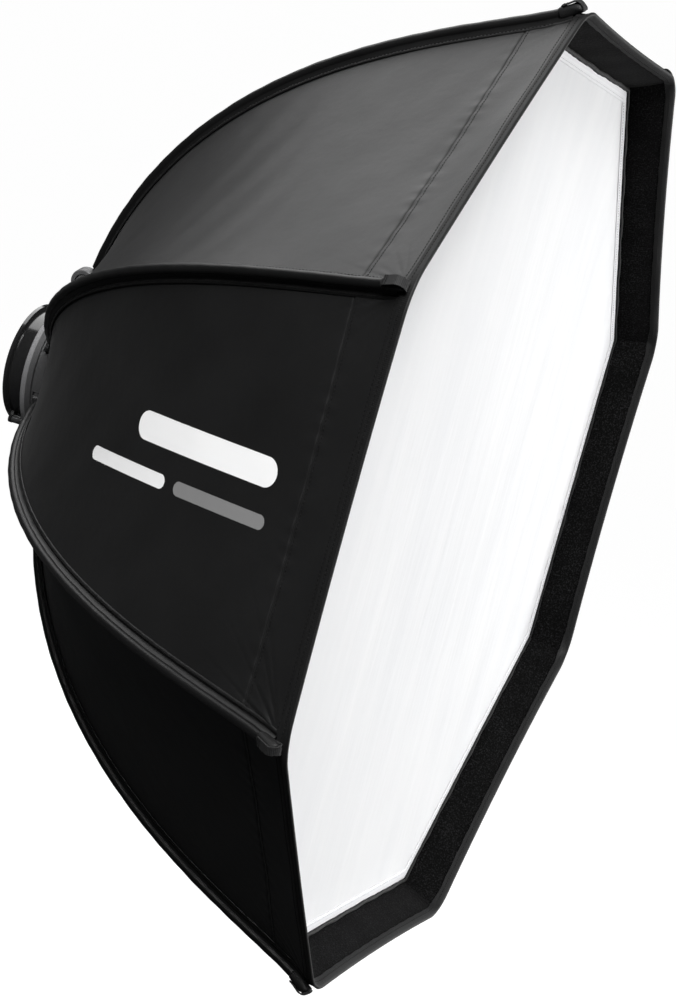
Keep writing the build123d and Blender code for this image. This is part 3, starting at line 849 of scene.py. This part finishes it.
def pocket(rod):
    """Sewn corner pocket over the rod's tip, with a webbing strap folded round the end."""
    piece = Piece()
    angles = np.linspace(0, 2 * math.pi, 22, endpoint=False)
    stations = [(-28, 4.9, 4.7, 0.1), (-26.5, 5.5, 5.2, 0), (-21, 5.8, 5.4, 0), (-15, 5.7, 5.3, 0),
                (-11, 5.7, 5.2, -0.2), (-8.4, 5.5, 4.9, -0.7), (-6.4, 5.1, 4.5, -1.2), (-5.3, 4.4, 3.7, -2.0),
                (-4.8, 2.8, 2.0, -3.2)]
    rings = []
    for k, (ds, a, b, c) in enumerate(stations):
        pinch = 1 + 0.05 * np.sin(3 * angles + rod + k)
        e = a * np.sign(np.cos(angles)) * np.abs(np.cos(angles)) ** 0.85 * pinch
        h = rod_lift(LENGTH + ds) + c + b * np.sin(angles) * pinch
        rings.append(rod_point(rod, LENGTH + ds, e, h))
    rings = np.stack(rings, 0)
    uv = np.stack([np.repeat(np.array([x[0] for x in stations])[:, None], len(angles), 1) * MM,
                   np.broadcast_to(angles * 0.006 + rod, (len(stations), len(angles)))], -1)
    tube(piece, rings, uv.reshape(-1, 2), 0.0, 0, soft_ends=True)
    top = [(LENGTH - 24, 10.5), (LENGTH - 18, 10.9), (LENGTH - 12, 11.3), (LENGTH - 8, 10.8), (LENGTH - 5.3, 8.4),
           (LENGTH - 4.2, 5.0), (LENGTH - 4.2, 2.0), (LENGTH - 5.2, 0.4)]
    band(piece, rod, top, 9.0, 1.1, 1, [1.0, 1.0, 1.0, 0.97, 0.92, 0.9, 1.05, 1.15])
    for ds in (-23.0, -20.4):
        e = np.arange(-3.8, 3.9, 1.2)
        at = rod_point(rod, LENGTH + ds, e, 11.5)
        across = np.broadcast_to(rod_frame(rod)[1], at.shape)
        up = rod_point(rod, LENGTH + ds, e, 1.0) - rod_point(rod, LENGTH + ds, e, 0.0)
        stitches(piece, at, across, up, np.zeros(len(e)), 1.1, 0.3, 2)
    obj = piece.build(f"corner_pocket_{rod}", [BINDING, WEBBING, THREAD])
    piece.ride(f"rib_{rod}")
    return obj


for rod in range(1, 9):
    worn = [sleeve(rod), pocket(rod)]

# -------------------------------------------------------------- front diffuser

EDGE = DIFFUSER_R * FLAT
EDGE_HALF = DIFFUSER_R * math.sin(HALF)


def wedge_point(gore, m, v, y):
    return m[..., None] * gore.out + v[..., None] * gore.across + np.asarray(y)[..., None] * np.array([0, 1.0, 0])


def diffuser(rod, letter, side):
    gore = GORES[rod % 8 if side == 1 else rod - 1]
    sign = -1 if side == 1 else 1
    rows = 26
    piece = Piece()
    m, v, faces = [], [], []
    for i in range(rows + 1):
        for j in range(i + 1):
            m.append(EDGE * i / rows)
            v.append(sign * EDGE_HALF * j / rows)
    first = [i * (i + 1) // 2 for i in range(rows + 2)]
    for i in range(rows):
        for j in range(i + 1):
            faces.append((first[i] + j, first[i + 1] + j, first[i + 1] + j + 1))
            if j < i:
                faces.append((first[i] + j, first[i + 1] + j + 1, first[i] + j + 1))
    m, v = np.array(m), np.array(v)
    uv = np.stack([m * MM, v * MM], -1)
    if side == 1:
        faces = [f[::-1] for f in faces]
    front, back = np.zeros((len(m), 3)), np.zeros((len(m), 3))
    front[:, 1], back[:, 1] = -1, 1
    a = piece.add(wedge_point(gore, m, v, np.full_like(m, DIFFUSER_Y)), uv, 0.0, faces, 0, nor=front)
    b = piece.add(wedge_point(gore, m, v, np.full_like(m, DIFFUSER_Y + CLOTH)), uv, 0.0,
                  [f[::-1] for f in faces], 0, nor=back)
    outline = [first[i] for i in range(rows + 1)] + [first[rows] + j for j in range(1, rows + 1)]
    outline += [first[i] + i for i in range(rows - 1, 0, -1)]
    rim = []
    for p, q in zip(outline, outline[1:] + outline[:1]):
        rim.append((a + p, b + p, b + q, a + q) if side == -1 else (a + q, b + q, b + p, a + p))
    piece.extra(rim, 0, 0, hard=True)
    obj = piece.build(f"diffuser_{rod}{letter}", [WHITE])
    piece.ride(f"front_flap_{rod}{letter}")
    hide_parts(f"diffuser_wedge_{rod}{letter}")
    hem = diffuser_hem(rod, letter, gore, sign)


def diffuser_hem(rod, letter, gore, sign):
    """White tape sewn along the diffuser's border, slightly puckered."""
    piece = Piece()
    x = np.linspace(0, 1, 70)
    section = [(0, 0.2), (0, 0.9), (-2.0, 1.15), (-6.0, 1.1), (-9.0, 1.2), (-11.0, 0.7), (-11.0, 0.2)]
    rings = []
    for dm, h in section:
        m = np.full_like(x, EDGE - 1.0 + dm)
        v = sign * x * m * math.tan(HALF)
        ripple = 0.25 * np.sin(v / 2.4 + dm) * np.sin(v / 11 + gore.number)
        rings.append(wedge_point(gore, m + ripple, v, DIFFUSER_Y - h - np.abs(ripple) * 0.8))
    rings = np.stack(rings, 1)
    uv = np.stack([np.repeat(x[:, None] * 0.176, len(section), 1),
                   np.broadcast_to(np.arange(len(section)) * 0.002, (len(x), len(section)))], -1)
    tube(piece, rings, uv.reshape(-1, 2), 0.0, 0)
    along = np.arange(2.0, EDGE_HALF - 5, 3.6) * sign
    at = wedge_point(gore, np.full_like(along, EDGE - 9.0), along, np.full_like(along, DIFFUSER_Y - 1.3))
    ahead = np.broadcast_to(gore.across, at.shape)
    up = np.broadcast_to(np.array([0, -1.0, 0]), at.shape)
    stitches(piece, at, ahead, up, np.zeros(len(along)), 2.4, 0.3, 1)
    obj = piece.build(f"diffuser_hem_{rod}{letter}", [WHITE_TAPE, THREAD_PALE])
    piece.ride(f"front_flap_{rod}{letter}")
    return obj


for rod in range(1, 9):
    for letter, side in (("a", 1), ("b", -1)):
        diffuser(rod, letter, side)

# ------------------------------------------------------------ camera and stage


CAMERA_TURN = (-71.21, 6.55, 15.34)
CAMERA_AT = (-2.0713, -1.0622, 0.2115)
FLOOR_Z, FLOOR_R, FLOOR_SIDES = -1.05, 15, 96
DOME_Z, DOME_R, DOME_RINGS, DOME_SIDES = -1.2, 14, 16, 48


def camera():
    """Set by azimuth, elevation and roll in degrees, and by its place in metres."""
    az, el, roll = (math.radians(x) for x in CAMERA_TURN)
    back = Vector((math.sin(az) * math.cos(el), -math.cos(az) * math.cos(el), math.sin(el)))
    right = Vector((math.cos(az), math.sin(az), 0))
    up = back.cross(right)
    turned = right * math.cos(roll) + up * math.sin(roll)
    data = bpy.data.cameras.new("camera")
    data.sensor_fit, data.sensor_width, data.lens = "AUTO", 36.0, 80.92
    data.clip_start, data.clip_end = 0.05, 60
    cam = bpy.data.objects.new("camera", data)
    bpy.context.scene.collection.objects.link(cam)
    cam.matrix_world = Matrix.Translation(CAMERA_AT) @ Matrix(
        (turned, back.cross(turned), back)).transposed().to_4x4()
    bpy.context.scene.camera = cam


def area_light(name, at, target, size, power):
    data = bpy.data.lights.new(name, "AREA")
    data.shape, data.size, data.size_y, data.energy = "RECTANGLE", size[0], size[1], power
    obj = bpy.data.objects.new(name, data)
    bpy.context.scene.collection.objects.link(obj)
    obj.location = at
    obj.rotation_mode = "QUATERNION"
    obj.rotation_quaternion = (Vector(target) - Vector(at)).to_track_quat("-Z", "Y")


def stage_material(name, colour, glow):
    mat, nodes, links, bsdf = new_material(name, Roughness=0.9, Specular_IOR_Level=0.0, Emission_Strength=glow)
    fac = noise(nodes, links, coords(nodes, links, "Object"), 0.6, 1)
    links.new(ramp(nodes, links, fac, [(0.3, (colour * 0.99,) * 3), (0.7, (colour,) * 3)]), bsdf.inputs["Base Color"])
    bsdf.inputs["Emission Color"].default_value = (1, 1, 1, 1)
    return mat


def stage():
    """A pale floor and a white dome. Both are seen, but don't light the object, so black cloth stays black."""
    verts, faces = [(0, 0, FLOOR_Z)], []
    for k in range(FLOOR_SIDES):
        a = k * 2 * math.pi / FLOOR_SIDES
        verts.append((FLOOR_R * math.cos(a), FLOOR_R * math.sin(a), FLOOR_Z))
        faces.append((0, 1 + k, 1 + (k + 1) % FLOOR_SIDES))
    floor = bpy.data.meshes.new("floor")
    floor.from_pydata(verts, [], faces)
    floor.materials.append(stage_material("floor_pale", 0.25, 0.98))
    dome = bpy.data.meshes.new("dome")
    verts = [(DOME_R * math.cos(e) * math.cos(a), DOME_R * math.cos(e) * math.sin(a), DOME_R * math.sin(e) + DOME_Z)
             for e in np.linspace(0, 1.5, DOME_RINGS)
             for a in np.linspace(0, 2 * math.pi, DOME_SIDES, endpoint=False)]
    faces = [tuple(int(k) for k in f) for f in grid(DOME_RINGS, DOME_SIDES, closed=True)]
    faces.append(tuple(range((DOME_RINGS - 1) * DOME_SIDES, DOME_RINGS * DOME_SIDES)))
    dome.from_pydata(verts, [], faces)
    dome.materials.append(stage_material("dome_white", 0.1, 0.98))
    for mesh in (floor, dome):
        obj = bpy.data.objects.new(mesh.name, mesh)
        bpy.context.scene.collection.objects.link(obj)
        obj.visible_diffuse = obj.visible_glossy = obj.visible_transmission = False
        obj.visible_shadow = False


def lights():
    world = bpy.data.worlds.new("world")
    bpy.context.scene.world = world
    world.use_nodes = True
    world.node_tree.nodes["Background"].inputs["Color"].default_value = (0.95, 0.97, 1.0, 1)
    world.node_tree.nodes["Background"].inputs["Strength"].default_value = 0.028
    area_light("top_back", (0.55, 1.42, 2.5), (-0.25, -0.25, 0.25), (2.8, 2.0), 48)
    area_light("front_right", (1.9, -3.0, 0.2), (0, -0.48, 0), (2.6, 3.0), 126)
    area_light("fill_left", (-2.7, -1.0, 2.3), (-0.2, -0.2, 0), (1.6, 1.6), 210)


camera()
stage()
lights()
bpy.context.scene.view_settings.view_transform = "Standard"
